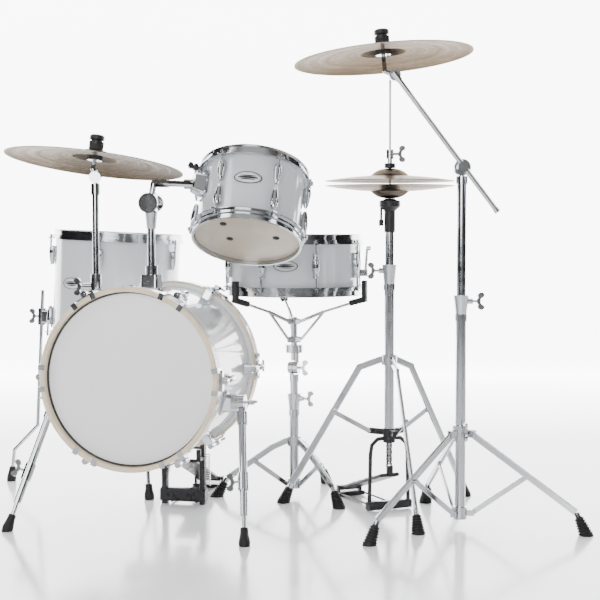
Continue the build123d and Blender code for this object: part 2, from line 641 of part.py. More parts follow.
def foot_top(station, radius, angle, lean=24):
    """Ground point, axis and top of one ribbed foot."""
    ground = at(station, radius, angle, 0)
    axis = radial(angle + 180) * sin(radians(lean)) + Vector(0, 0, cos(radians(lean)))
    return ground, axis, ground + axis * FOOT_HEIGHT


def ankle(toe, axis):
    """Round end of a tripod leg, standing in the top of its rubber foot."""
    bar(toe, toe + axis * ANKLE, 6.5)


def base_column(station, low, high, clamp_length, wing_angle):
    """Lower stand tube with its tapered height clamp and wing bolt."""
    bar(above(station, low), above(station, high), BASE_TUBE, TUBE_BORE)
    bottom = Plane(above(station, high - 1))
    taper = [(UPPER_TUBE + RUNNING, 1), (13.5, 1), (19, clamp_length), (UPPER_TUBE + RUNNING, clamp_length)]
    spin(bottom, taper)
    spin(bottom, [(TUBE_BORE, -14), (15, -14), (15, 2), (TUBE_BORE, 2)])
    out = radial(wing_angle)
    screw = above(station, high + clamp_length * 0.68) + out * 14
    bar(screw, screw + out * 14, 7)
    wing_bolt(Plane(screw + out * 12, x_dir=(0, 0, 1), z_dir=out), 12)


def braced_leg(station, angle, hub, bend, toe, axis, stay_from, stay_to):
    """One leg of a locked tripod: hub to bend to toe, with its stay strip beside it."""
    side = radial(angle + 90)
    ankle(toe, axis)
    points = [at(station, *hub), at(station, *bend), toe + axis * ANKLE]
    for start, end in zip(points, points[1:]):
        strip(start, end, side, LEG_THICK, LEG_WIDE)
    pin = side * (LEG_THICK / 2)
    for joint in points[:2]:
        bar(joint - pin, joint + pin, LEG_WIDE / 2)
    offset = side * (LEG_THICK / 2 + STAY_THICK / 2 - 0.3)
    low, high = at(station, *stay_from), at(station, *stay_to)
    strip(low + offset, high + offset, side, STAY_THICK, STAY_WIDE)
    for joint in (low, high):
        bar(joint + pin, joint + pin + side * (STAY_THICK + 2), 5.5)


# Snare stand ---------------------------------------------------------------------------
SNARE_FEET = [-8 + 24 + 180 + 120 * index for index in range(3)]
SNARE_TILT = above(SNARE, 351)
BASKET_ANGLES = [-8, 112, 232]
snare_legs = [(angle, *foot_top(SNARE, 211, angle, 30)) for angle in SNARE_FEET]

with BuildPart() as snare_stand_base:
    base_column(SNARE, 22, 236, 46, -8)
    bar(above(SNARE, 138), above(SNARE, 164), 19, TUBE_BORE)
    bar(above(SNARE, 22), above(SNARE, 48), 18, TUBE_BORE)
    for angle, ground, axis, toe in snare_legs:
        braced_leg(
            SNARE, angle, (22, angle, 151), (60, angle, 134), toe, axis,
            (22, angle, 35), (112, angle, 100),
        )
with BuildPart() as snare_stand_post:
    across = radial(-8)
    bar(above(SNARE, 90), SNARE_TILT - Vector(0, 0, 20), UPPER_TUBE)
    bar(SNARE_TILT - Vector(0, 0, 38), SNARE_TILT - Vector(0, 0, 18), 13)
    neck = SNARE_TILT - across * 7.25
    bar(neck - Vector(0, 0, 28), neck, 6.5)
    bar(SNARE_TILT - across * 14, SNARE_TILT - across * 0.5, 16)
with BuildPart() as snare_basket:
    bar(SNARE_TILT + across * 0.5, SNARE_TILT + across * 14, 16)
    wing_bolt(Plane(SNARE_TILT + across * 14, x_dir=(0, 0, 1), z_dir=across), 8)
    neck = SNARE_TILT + across * 7.25
    bar(neck, neck + Vector(0, 0, 40), 6.5)
    bar(above(SNARE, 370), above(SNARE, 489), 9)
    bar(above(SNARE, 392), above(SNARE, 414), 24.5)
    for angle in BASKET_ANGLES:
        side = radial(angle + 90)
        high, low = at(SNARE, 18, angle, 477), at(SNARE, 20, angle, 428)
        knee, tip = at(SNARE, 86, angle, 505), at(SNARE, 187, angle, 537)
        strip(at(SNARE, 4, angle, 477), high, side, 12, 16)
        strip(at(SNARE, 4, angle, 428), low, side, 12, 16)
        strip(high, knee, side, 8, 9)
        strip(knee, tip, side, 7, 7)
        strip(low, knee, side, 6, 7)
    for angle in BASKET_ANGLES:
        side = radial(angle + 90)
        start, corner = at(SNARE, 160, angle, 529), at(SNARE, 204, angle, 541)
        strip(start, corner, side, 20, 15)
        strip(at(SNARE, 199.5, angle, 535), at(SNARE, 199.5, angle, 590), side, 20, 12)

# Hi-hat --------------------------------------------------------------------------------
HAT_BOW, HAT_BELL_RADIUS, HAT_BELL = 13, 49, 18
HIHAT_FEET = [-67.6, 52.9, 172.9]
PEDAL_ACROSS, PEDAL_HEEL = radial(37), radial(127)
HAT_LOW = Plane(above(HIHAT, 838), x_dir=(1, 0, 0), z_dir=(0, 0, -1))
HAT_HIGH = Plane(above(HIHAT, 849))
hihat_legs = [(angle, *foot_top(HIHAT, 291, angle)) for angle in HIHAT_FEET]
TOE = above(HIHAT, 92) - PEDAL_HEEL * 4
HEEL = above(HIHAT, 22) + PEDAL_HEEL * 226

with BuildPart() as hihat_stand_base:
    for angle, ground, axis, toe in hihat_legs:
        braced_leg(
            HIHAT, angle, (22, angle, 391), (80, angle, 369), toe, axis,
            (52, angle, 205), (152, angle, 252),
        )
    bar(above(HIHAT, 378), above(HIHAT, 404), 20, TUBE_BORE)
    base_column(HIHAT, 213, 585, 52, VIEW_TURN + 180)
with BuildPart() as hihat_pedal_frame:
    bar(above(HIHAT, 177), above(HIHAT, 212.8), 16, 6)
    for angle in HIHAT_FEET:
        side = radial(angle + 90)
        strip(at(HIHAT, 12, angle, 203), at(HIHAT, 56, angle, 205), side, 7.6, 16)
    for sign in (-1, 1):
        side = PEDAL_ACROSS * sign
        path = [above(HIHAT, 188) + side * 12, above(HIHAT, 186) + side * 34]
        path += [above(HIHAT, 172) + side * 50, above(HIHAT, 150) + side * 54]
        path += [above(HIHAT, 16) + side * 57]
        for start, end in zip(path, path[1:]):
            bar(start, end, 5)
            ball(end, 5)
        strut = above(HIHAT, 8) + side * 34
        bar(strut, strut + PEDAL_HEEL * 216, 2.5)
    strip(above(HIHAT, 14) - PEDAL_ACROSS * 62, above(HIHAT, 14) + PEDAL_ACROSS * 62, PEDAL_HEEL, 24, 22)
    low = above(HIHAT, 7) + PEDAL_HEEL * 206
    strip(low, low + PEDAL_HEEL * 58, PEDAL_ACROSS, 76, 11)
    for sign in (-1, 1):
        ear = HEEL + PEDAL_ACROSS * (33 * sign)
        strip(ear - Vector(0, 0, 14), ear + Vector(0, 0, 7), PEDAL_ACROSS, 6, 14)
    bar(HEEL - PEDAL_ACROSS * 34, HEEL + PEDAL_ACROSS * 34, PIN)
    trim_to_floor()
with BuildPart() as hihat_footboard:
    run = TOE - HEEL
    strip(HEEL + run * 0.03, TOE, PEDAL_ACROSS, 56, 9)
    for share in (0.3, 0.45, 0.6, 0.75):
        rib = HEEL + run * share + Vector(0, 0, 4.5)
        bar(rib - PEDAL_ACROSS * 24, rib + PEDAL_ACROSS * 24, 2.5)
    bar(HEEL - PEDAL_ACROSS * 27, HEEL + PEDAL_ACROSS * 27, 7)
    strip(TOE - Vector(0, 0, 4), TOE + Vector(0, 0, 24), PEDAL_ACROSS, 16, 12)
    bar(HEEL - PEDAL_ACROSS * 30, HEEL + PEDAL_ACROSS * 30, PIN + RUNNING, mode=Mode.SUBTRACT)
with BuildPart() as hihat_tube:
    bar(above(HIHAT, 420), above(HIHAT, 735), UPPER_TUBE, 6)
    spin(
        Plane(above(HIHAT, 753)),
        [(6, -34), (14, -34), (14, 20), (27, 32), (27, 45.8), (14, 50), (14, 52), (6, 52)],
    )
    drop = above(HIHAT, 779) - radial(VIEW_TURN) * 22
    bar(drop + Vector(0, 0, 10), drop - Vector(0, 0, 30), 3)
    bar(drop - Vector(0, 0, 44), drop - Vector(0, 0, 28), 6)
with BuildPart() as hihat_bottom_cymbal:
    cymbal(HAT_LOW, HIHAT_RADIUS, HAT_BOW, HAT_BELL_RADIUS, HAT_BELL)
with BuildPart() as hihat_rod:
    bar(above(HIHAT, 124), above(HIHAT, 1108), 3)
    bar(above(HIHAT, 906), above(HIHAT, 930), 10)
    bar(above(HIHAT, 894), above(HIHAT, 907), 6)
    screw = above(HIHAT, 919) + radial(VIEW_TURN) * 9
    wing_bolt(Plane(screw, x_dir=(0, 0, 1), z_dir=radial(VIEW_TURN)), 12)
    bar(above(HIHAT, 882.8), above(HIHAT, 895), 14)
    bar(above(HIHAT, 866), above(HIHAT, 883), 4.5)
    bar(above(HIHAT, 865), above(HIHAT, 877), 12)
with BuildPart() as hihat_top_cymbal:
    cymbal(HAT_HIGH, HIHAT_RADIUS, HAT_BOW, HAT_BELL_RADIUS, HAT_BELL)

# Boom stand --------------------------------------------------------------------------------
BOOM_FEET = [-127.1, -7.1, 112.9]
BOOM_JOINT = above(BOOM, 876)
BOOM_HUB_HIGH, BOOM_HUB_LOW, HUB_PIN = 230, 35, 28.5
boom_legs = [(angle, *foot_top(BOOM, 306, angle)) for angle in BOOM_FEET]
STAY_SHIFT = LEG_THICK / 2 + GAP + STAY_THICK / 2
STAY_MEET_RADIUS, STAY_MEET_HEIGHT = 160, 130

with BuildPart() as boom_stand_base:
    base_column(BOOM, 20, 520, 48, VIEW_TURN)
    bar(above(BOOM, 20), above(BOOM, 50), 17, TUBE_BORE)
    for angle in BOOM_FEET:
        side = radial(angle + 90)
        ear = side * (STAY_SHIFT - STAY_THICK / 2 - 0.3 - 2)
        strip(at(BOOM, 14, angle, BOOM_HUB_LOW) + ear, at(BOOM, 35, angle, BOOM_HUB_LOW) + ear, side, 4, 15)
        pivot = at(BOOM, HUB_PIN, angle, BOOM_HUB_LOW)
        bar(pivot + ear, pivot + side * (STAY_SHIFT + STAY_THICK / 2 + 2), PIN)
with BuildPart() as boom_leg_collar:
    bar(above(BOOM, 212), above(BOOM, 250), 19, BASE_TUBE + RUNNING)
    for angle in BOOM_FEET:
        side = radial(angle + 90)
        for sign in (-1, 1):
            ear = side * sign * (LEG_THICK / 2 + 0.3 + 1.5)
            strip(at(BOOM, 16, angle, BOOM_HUB_HIGH) + ear, at(BOOM, 38, angle, BOOM_HUB_HIGH) + ear, side, 3, 18)
        pivot = at(BOOM, HUB_PIN, angle, BOOM_HUB_HIGH)
        bar(pivot - side * 8.5, pivot + side * 8.5, PIN)
    screw = at(BOOM, 17, -67, 240)
    wing_bolt(Plane(screw, x_dir=(0, 0, 1), z_dir=radial(-67)), 14)
    bar(above(BOOM, 205), above(BOOM, 255), BASE_TUBE + RUNNING, mode=Mode.SUBTRACT)


def boom_leg(index):
    """Folding leg with its rubber foot, pinned between the collar's ears."""
    angle, ground, axis, toe = boom_legs[index]
    side = radial(angle + 90)
    pivot = at(BOOM, HUB_PIN, angle, BOOM_HUB_HIGH)
    strip(pivot, toe + axis * ANKLE, side, LEG_THICK, LEG_WIDE)
    ankle(toe, axis)
    bar(pivot - side * LEG_THICK / 2, pivot + side * LEG_THICK / 2, LEG_WIDE / 2)
    pedestal(ground, axis)
    trim_to_floor()
    bar(pivot - side * 9, pivot + side * 9, PIN + RUNNING, mode=Mode.SUBTRACT)


def boom_stay(index):
    """Folding stay from the lower hub to the middle of its leg."""
    angle = BOOM_FEET[index]
    side = radial(angle + 90)
    low = at(BOOM, HUB_PIN, angle, BOOM_HUB_LOW) + side * STAY_SHIFT
    high = at(BOOM, STAY_MEET_RADIUS, angle, STAY_MEET_HEIGHT) + side * STAY_SHIFT
    strip(low, high, side, STAY_THICK, STAY_WIDE)
    half = side * STAY_THICK / 2
    bar(low - half, low + half, STAY_WIDE / 2)
    bar(high - half, high + half * 2.4, STAY_WIDE / 2)
    bar(low - side * 4, low + side * 4, PIN + RUNNING, mode=Mode.SUBTRACT)


with BuildPart() as boom_leg_front:
    boom_leg(0)
with BuildPart() as boom_leg_right:
    boom_leg(1)
with BuildPart() as boom_leg_rear:
    boom_leg(2)
with BuildPart() as boom_stay_front:
    boom_stay(0)
with BuildPart() as boom_stay_right:
    boom_stay(1)
with BuildPart() as boom_stay_rear:
    boom_stay(2)
with BuildPart() as boom_post:
    bar(above(BOOM, 240), BOOM_JOINT - Vector(0, 0, 24), UPPER_TUBE)
    bar(BOOM_JOINT - Vector(0, 0, 40), BOOM_JOINT - Vector(0, 0, 21), 14)
    bar(BOOM_JOINT + DEPTH_WAY * 0.5, BOOM_JOINT + DEPTH_WAY * 14, 20)
    neck = BOOM_JOINT + DEPTH_WAY * 7.25
    bar(neck - Vector(0, 0, 30), neck, 6.5)
    wing_bolt(Plane(BOOM_JOINT + DEPTH_WAY * 14, x_dir=(0, 0, 1), z_dir=DEPTH_WAY), 8)
BOOM_TAIL = at(BOOM, 84, VIEW_TURN, 768) - DEPTH_WAY * 24
BOOM_TOP = RIDE_JOINT - DEPTH_WAY * 24
with BuildPart() as boom_arm:
    bar(BOOM_JOINT - DEPTH_WAY * 14, BOOM_JOINT - DEPTH_WAY * 0.5, 20)
    bar(BOOM_JOINT - DEPTH_WAY * 32, BOOM_JOINT - DEPTH_WAY * 13, 13)
    bar(BOOM_TAIL, BOOM_TOP, 6.2)
    along = (BOOM_TOP - BOOM_TAIL).normalized()
    bar(BOOM_TAIL, BOOM_TAIL + along * 12, 7.4)
    bar(BOOM_TOP - along * 18, BOOM_TOP + along * 6, 8)
    bar(BOOM_TOP, RIDE_JOINT - DEPTH_WAY * 12.6, 14)
with BuildPart() as ride_tilter:
    tilter_head(RIDE_JOINT, RIDE_RIM, 40)
with BuildPart() as ride_felts:
    cymbal_felts(RIDE_RIM)
with BuildPart() as ride_cymbal:
    cymbal(RIDE_RIM, RIDE_RADIUS, BOW, BELL_RADIUS, BELL_HEIGHT)

with BuildPart() as stand_feet:
    for angle, ground, axis, toe in snare_legs + hihat_legs:
        pedestal(ground, axis)
    trim_to_floor()

# Bass drum pedal -----------------------------------------------------------------------------
PEDAL = BASS + Vector(3, 243, -375.5)
BEATER_PIVOT = above(PEDAL, 150)
PEDAL_TOE = PEDAL + Vector(0, 12, 112)
PEDAL_BACK = PEDAL + Vector(0, 246, 24)
UPRIGHT = 52

with BuildPart() as bass_pedal_frame:
    for sign in (-1, 1):
        side = Vector(sign * UPRIGHT, 0, 0)
        strip(PEDAL + side, BEATER_PIVOT + side + Vector(0, 0, 12), Vector(1, 0, 0), 14, 26)
        edge = PEDAL + Vector(sign * 34, 0, 5)
        bar(edge, edge + Vector(0, 236, 0), 3)
    strip(PEDAL + Vector(-62, 0, 24), PEDAL + Vector(62, 0, 24), Vector(0, 1, 0), 30, 36)
    bar(BEATER_PIVOT - Vector(UPRIGHT, 0, 0), BEATER_PIVOT + Vector(UPRIGHT, 0, 0), 4)
    for sign in (-1, 1):
        arm = BEATER_PIVOT + Vector(sign * UPRIGHT, -8, -26)
        strip(arm, arm + Vector(0, -34, 0), Vector(1, 0, 0), 12, 10)
        pad = BEATER_PIVOT + Vector(sign * UPRIGHT, -40, -26)
        strip(pad, pad + Vector(0, 0, 28), Vector(1, 0, 0), 12, 10)
    low = PEDAL + Vector(0, 222, 6)
    strip(low, low + Vector(0, 60, 0), Vector(1, 0, 0), 84, 10)
    for sign in (-1, 1):
        ear = PEDAL_BACK + Vector(sign * 39, 0, 0)
        strip(ear - Vector(0, 0, 15), ear + Vector(0, 0, 7), Vector(1, 0, 0), 6, 14)
    bar(PEDAL_BACK - Vector(40, 0, 0), PEDAL_BACK + Vector(40, 0, 0), PIN)
    trim_to_floor()
with BuildPart() as bass_pedal_footboard:
    run = PEDAL_TOE - PEDAL_BACK
    strip(PEDAL_BACK + run * 0.03, PEDAL_TOE, Vector(1, 0, 0), 62, 9)
    for share in (0.3, 0.45, 0.6, 0.75, 0.9):
        rib = PEDAL_BACK + run * share + Vector(0, 2, 4.5)
        bar(rib - Vector(26, 0, 0), rib + Vector(26, 0, 0), 2.5)
    bar(PEDAL_BACK - Vector(33, 0, 0), PEDAL_BACK + Vector(33, 0, 0), 7)
    hole = Vector(36, 0, 0)
    bar(PEDAL_BACK - hole, PEDAL_BACK + hole, PIN + RUNNING, mode=Mode.SUBTRACT)
with BuildPart() as bass_pedal_beater:
    swing = Vector(0, sin(radians(35)), cos(radians(35)))
    bar(BEATER_PIVOT - Vector(20, 0, 0), BEATER_PIVOT + Vector(20, 0, 0), 14)
    bar(BEATER_PIVOT, BEATER_PIVOT + swing * 186, 4)
    head = BEATER_PIVOT + swing * 180
    face = Vector(0, -cos(radians(35)), sin(radians(35)))
    bar(head - face * 20, head + face * 20, 19)
    bar(BEATER_PIVOT - hole, BEATER_PIVOT + hole, 4 + RUNNING, mode=Mode.SUBTRACT)

PIECES = {
    "bass_shell": bass_shell,
    "bass_hoops": bass_hoops,
    "bass_heads": bass_heads,
    "bass_lugs": bass_lugs,
    "bass_claws": bass_claws,
    "bass_brackets": bass_brackets,
    "left_spur": left_spur,
    "right_spur": right_spur,
    "crash_tube": crash_tube,
    "crash_tilter": crash_tilter,
    "crash_felts": crash_felts,
    "crash_cymbal": crash_cymbal,
    "tom_post": tom_post,
    "tom_arm": tom_arm,
    "tom_shell": tom_shell,
    "tom_hoops": tom_hoops,
    "tom_heads": tom_heads,
    "tom_lugs": tom_lugs,
    "tom_bracket": tom_bracket,
    "floor_tom_shell": floor_tom_shell,
    "floor_tom_hoops": floor_tom_hoops,
    "floor_tom_heads": floor_tom_heads,
    "floor_tom_lugs": floor_tom_lugs,
    "floor_tom_leg_brackets": floor_tom_leg_brackets,
    "floor_tom_leg_left": floor_tom_leg_left,
    "floor_tom_leg_front": floor_tom_leg_front,
    "floor_tom_leg_rear": floor_tom_leg_rear,
    "snare_shell": snare_shell,
    "snare_hoops": snare_hoops,
    "snare_heads": snare_heads,
    "snare_lugs": snare_lugs,
    "snare_strainer": snare_strainer,
    "snare_strainer_lever": snare_strainer_lever,
    "snare_stand_base": snare_stand_base,
    "snare_stand_post": snare_stand_post,
    "snare_basket": snare_basket,
    "hihat_stand_base": hihat_stand_base,
    "hihat_pedal_frame": hihat_pedal_frame,
    "hihat_footboard": hihat_footboard,
    "hihat_tube": hihat_tube,
    "hihat_bottom_cymbal": hihat_bottom_cymbal,
    "hihat_rod": hihat_rod,
    "hihat_top_cymbal": hihat_top_cymbal,
    "boom_stand_base": boom_stand_base,
    "boom_leg_collar": boom_leg_collar,
    "boom_leg_front": boom_leg_front,
    "boom_leg_right": boom_leg_right,
    "boom_leg_rear": boom_leg_rear,
    "boom_stay_front": boom_stay_front,
    "boom_stay_right": boom_stay_right,
    "boom_stay_rear": boom_stay_rear,
    "boom_post": boom_post,
    "boom_arm": boom_arm,
    "ride_tilter": ride_tilter,
    "ride_felts": ride_felts,
    "ride_cymbal": ride_cymbal,
    "stand_feet": stand_feet,
    "bass_pedal_frame": bass_pedal_frame,
    "bass_pedal_footboard": bass_pedal_footboard,
    "bass_pedal_beater": bass_pedal_beater,
}
os.makedirs("parts", exist_ok=True)
for name, builder in PIECES.items():
    save(builder, name)
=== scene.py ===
"""Looks for the compact drum kit: materials on the CAD frame, trim pieces, light and camera."""

import json
from math import cos, pi, radians, sin

import bpy
import bmesh
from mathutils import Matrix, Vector


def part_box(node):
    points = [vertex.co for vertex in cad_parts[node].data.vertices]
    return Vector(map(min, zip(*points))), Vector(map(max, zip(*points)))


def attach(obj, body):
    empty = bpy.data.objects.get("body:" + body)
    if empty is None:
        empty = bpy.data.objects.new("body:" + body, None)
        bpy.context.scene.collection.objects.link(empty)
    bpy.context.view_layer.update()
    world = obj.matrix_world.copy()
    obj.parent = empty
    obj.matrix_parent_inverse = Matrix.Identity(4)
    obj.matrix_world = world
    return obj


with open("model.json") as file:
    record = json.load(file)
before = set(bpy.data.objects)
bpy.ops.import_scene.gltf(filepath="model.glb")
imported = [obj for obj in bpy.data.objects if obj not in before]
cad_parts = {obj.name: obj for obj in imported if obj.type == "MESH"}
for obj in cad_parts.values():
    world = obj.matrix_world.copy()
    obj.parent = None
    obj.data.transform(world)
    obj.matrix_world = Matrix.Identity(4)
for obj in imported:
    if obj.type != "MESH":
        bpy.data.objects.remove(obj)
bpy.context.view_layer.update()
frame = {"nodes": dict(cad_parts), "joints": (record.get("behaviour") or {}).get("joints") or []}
NODES = frame["nodes"]


def middle(node):
    """Centre of a CAD node's box."""
    low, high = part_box(node)
    return (Vector(low) + Vector(high)) / 2


def joint_place(name):
    """Where a joint of the CAD model sits."""
    return Vector(next(joint["pos_m"] for joint in frame["joints"] if joint["name"] == name))


BASS = middle("bass_shell")
TOM = middle("tom_shell")
FLOOR_TOM = middle("floor_tom_shell")
SNARE = middle("snare_shell")
HIHAT = middle("hihat_top_cymbal")
HIHAT.z = 0  # on the floor under the stand
BOOM = joint_place("boom_tilt")
VIEW_TURN = radians(12)  # heading that the cymbals, the light and the camera are set square to
EAST = Vector((1, 0, 0))
UP = Vector((0, 0, 1))
ACROSS = Vector((cos(VIEW_TURN), sin(VIEW_TURN), 0))
DEPTH = Vector((-sin(VIEW_TURN), cos(VIEW_TURN), 0))


def leaning(right, away):
    """Upright axis leaned by so many degrees to the right and away, along the view's heading."""
    return (ACROSS * sin(radians(right)) + DEPTH * sin(radians(away)) + UP).normalized()


TOM_LEAN = radians(26.6)
TOM_AXIS = Vector((0, sin(TOM_LEAN), cos(TOM_LEAN)))
FLOOR_AXIS = leaning(2.7, 0)
CRASH_AXIS = leaning(6.4, 6.5)
RIDE_AXIS = leaning(-4.9, 3.4)
TOM_DEPTH = 0.174  # length of the rack tom's shell
FILM_TOP = 0.0011  # a drum head's outer face, beyond the end of its shell


def shell_radius(node, centre, axis):
    """Outer radius of a drum's shell, read off its CAD mesh."""
    mesh = NODES[node].data
    return max((vertex.co - centre).cross(axis).length for vertex in mesh.vertices)


BELL_TOP = 0.033  # from a cymbal's rim plane up to the top of its bell, where it rocks
CRASH = joint_place("crash_swing") - CRASH_AXIS * BELL_TOP
RIDE = joint_place("ride_swing") - RIDE_AXIS * BELL_TOP


# Materials --------------------------------------------------------------------
class Shader:
    """A principled material with short ways to hang procedural detail on it."""

    def __init__(self, name, color, rough, metal=0.0, coat=0.0, specular=0.5):
        self.material = bpy.data.materials.new(name)
        self.material.use_nodes = True
        self.tree = self.material.node_tree
        self.shader = self.tree.nodes["Principled BSDF"]
        self.shader.inputs["Base Color"].default_value = (*color, 1)
        self.shader.inputs["Roughness"].default_value = rough
        self.shader.inputs["Metallic"].default_value = metal
        self.shader.inputs["Coat Weight"].default_value = coat
        self.shader.inputs["Specular IOR Level"].default_value = specular
        self.place = self.node("ShaderNodeTexCoord").outputs["Object"]
        self.height = None

    def node(self, kind, **settings):
        made = self.tree.nodes.new(kind)
        for key, value in settings.items():
            setattr(made, key, value)
        return made

    def link(self, source, target):
        self.tree.links.new(source, target)

    def stretched(self, scale):
        mapping = self.node("ShaderNodeMapping")
        mapping.inputs["Scale"].default_value = scale
        self.link(self.place, mapping.inputs["Vector"])
        return mapping.outputs["Vector"]

    def noise(self, scale, detail=3.0, source=None, rough=0.55):
        made = self.node("ShaderNodeTexNoise")
        made.inputs["Scale"].default_value = scale
        made.inputs["Detail"].default_value = detail
        made.inputs["Roughness"].default_value = rough
        self.link(source or self.place, made.inputs["Vector"])
        return made.outputs["Fac"]

    def ranged(self, value, low, high, from_low=0.3, from_high=0.7):
        made = self.node("ShaderNodeMapRange")
        limits = {"From Min": from_low, "From Max": from_high, "To Min": low, "To Max": high}
        for key, number in limits.items():
            made.inputs[key].default_value = number
        self.link(value, made.inputs["Value"])
        return made.outputs["Result"]

    def rough_from(self, value, low, high):
        self.link(self.ranged(value, low, high), self.shader.inputs["Roughness"])
        return self

    def tinted(self, value, first, second, from_low=0.3, from_high=0.7):
        ramp = self.node("ShaderNodeValToRGB")
        ramp.color_ramp.elements[0].position = from_low
        ramp.color_ramp.elements[0].color = (*first, 1)
        ramp.color_ramp.elements[1].position = from_high
        ramp.color_ramp.elements[1].color = (*second, 1)
        self.link(value, ramp.inputs["Fac"])
        self.link(ramp.outputs["Color"], self.shader.inputs["Base Color"])
        return self

    def bumped(self, value, strength, distance):
        bump = self.node("ShaderNodeBump")
        bump.inputs["Strength"].default_value = strength
        bump.inputs["Distance"].default_value = distance
        self.link(value, bump.inputs["Height"])
        if self.height is not None:
            self.link(self.height, bump.inputs["Normal"])
        self.height = bump.outputs["Normal"]
        self.link(self.height, self.shader.inputs["Normal"])
        return self

    def distance_along(self, centre, axis):
        """Distances along and away from an axis, in the node's own rest space."""
        offset = self.node("ShaderNodeVectorMath", operation="SUBTRACT")
        offset.inputs[1].default_value = centre
        self.link(self.place, offset.inputs[0])
        along = self.node("ShaderNodeVectorMath", operation="DOT_PRODUCT")
        along.inputs[1].default_value = axis
        self.link(offset.outputs["Vector"], along.inputs[0])
        cross = self.node("ShaderNodeVectorMath", operation="CROSS_PRODUCT")
        cross.inputs[1].default_value = axis
        self.link(offset.outputs["Vector"], cross.inputs[0])
        away = self.node("ShaderNodeVectorMath", operation="LENGTH")
        self.link(cross.outputs["Vector"], away.inputs[0])
        return along.outputs["Value"], away.outputs["Value"]


def lacquer():
    made = Shader("shell_lacquer", (0.6, 0.62, 0.65), 0.12, coat=1.0)
    made.shader.inputs["Coat Roughness"].default_value = 0.04
    made.tinted(made.noise(3.0), (0.57, 0.595, 0.63), (0.65, 0.67, 0.70))
    made.rough_from(made.noise(60), 0.14, 0.24)
    return made.bumped(made.noise(9), 0.04, 0.002).material


def head_film(name, first, second, low, high):
    made = Shader(name, first, low, specular=0.4)
    made.tinted(made.noise(5.0), first, second)
    made.rough_from(made.noise(300), low, high)
    made.bumped(made.noise(1400, 2), 0.12, 0.0003)
    return made.bumped(made.noise(6), 0.05, 0.003).material


def chrome():
    made = Shader("chrome", (0.52, 0.53, 0.55), 0.1, metal=1.0)
    made.rough_from(made.noise(45), 0.07, 0.17)
    return made.bumped(made.noise(30), 0.05, 0.0006).material


def brushed():
    made = Shader("brushed_alloy", (0.72, 0.73, 0.75), 0.3, metal=1.0)
    made.rough_from(made.noise(160, 2, made.stretched((1, 1, 0.05))), 0.22, 0.42)
    return made.bumped(made.noise(700, 2, made.stretched((1, 1, 0.05))), 0.08, 0.0003).material


def bronze(name, centre, axis):
    made = Shader(name, (0.12, 0.10, 0.08), 0.3, metal=1.0)
    _, away = made.distance_along(centre, axis)
    ring = made.node("ShaderNodeCombineXYZ")
    made.link(away, ring.inputs["X"])
    grooves = made.noise(900, 2, ring.outputs["Vector"])
    bands = made.noise(42, 3, ring.outputs["Vector"])
    cloud = made.noise(11, 3)
    blend = made.node("ShaderNodeMath", operation="MULTIPLY_ADD")
    blend.inputs[1].default_value = 0.5
    made.link(bands, blend.inputs[0])
    made.link(made.ranged(cloud, 0.0, 0.5), blend.inputs[2])
    made.tinted(blend.outputs["Value"], (0.072, 0.062, 0.053), (0.16, 0.138, 0.118), 0.2, 0.8)
    made.shader.inputs["Specular Tint"].default_value = (0.42, 0.38, 0.34, 1)
    made.rough_from(bands, 0.2, 0.38)
    return made.bumped(grooves, 0.32, 0.0006).material


def maple(name, first, second):
    made = Shader(name, first, 0.3, coat=0.6)
    made.shader.inputs["Coat Roughness"].default_value = 0.12
    grain = made.noise(28, 6, made.stretched((1, 14, 1)), 0.7)
    made.tinted(grain, first, second, 0.35, 0.7)
    made.rough_from(made.noise(90), 0.28, 0.42)
    return made.bumped(grain, 0.08, 0.0006).material


INLAY_FROM_MIDDLE = 0.1835  # along the bass drum, from its middle
INLAY_HALF_WIDTH = 0.0022


def inlaid_side():
    """Outer side of the bass hoops: pale lacquer with one thin dark inlay line round it."""
    made = Shader("hoop_side", (0.66, 0.60, 0.52), 0.3, coat=0.6)
    along, _ = made.distance_along(BASS, (0, 1, 0))
    size = made.node("ShaderNodeMath", operation="ABSOLUTE")
    made.link(along, size.inputs[0])
    inlay = made.node("ShaderNodeMath", operation="COMPARE")
    inlay.inputs[1].default_value = INLAY_FROM_MIDDLE
    inlay.inputs[2].default_value = INLAY_HALF_WIDTH
    made.link(size.outputs["Value"], inlay.inputs[0])
    grain = made.noise(30, 5, made.stretched((1, 12, 1)))
    mix = made.node("ShaderNodeMix", data_type="RGBA")
    ramp = made.node("ShaderNodeValToRGB")
    ramp.color_ramp.elements[0].color = (0.58, 0.52, 0.44, 1)
    ramp.color_ramp.elements[1].color = (0.74, 0.69, 0.61, 1)
    made.link(grain, ramp.inputs["Fac"])
    made.link(inlay.outputs["Value"], mix.inputs["Factor"])
    made.link(ramp.outputs["Color"], mix.inputs["A"])
    mix.inputs["B"].default_value = (0.08, 0.075, 0.07, 1)
    made.link(mix.outputs["Result"], made.shader.inputs["Base Color"])
    return made.bumped(grain, 0.06, 0.0006).material


def dull(name, color, low, high, grain=260, depth=0.0005, specular=0.35):
    made = Shader(name, color, low, specular=specular)
    lighter = tuple(min(1, channel * 1.5 + 0.003) for channel in color)
    made.tinted(made.noise(24), color, lighter)
    made.rough_from(made.noise(70), low, high)
    return made.bumped(made.noise(grain, 3), 0.3, depth).material


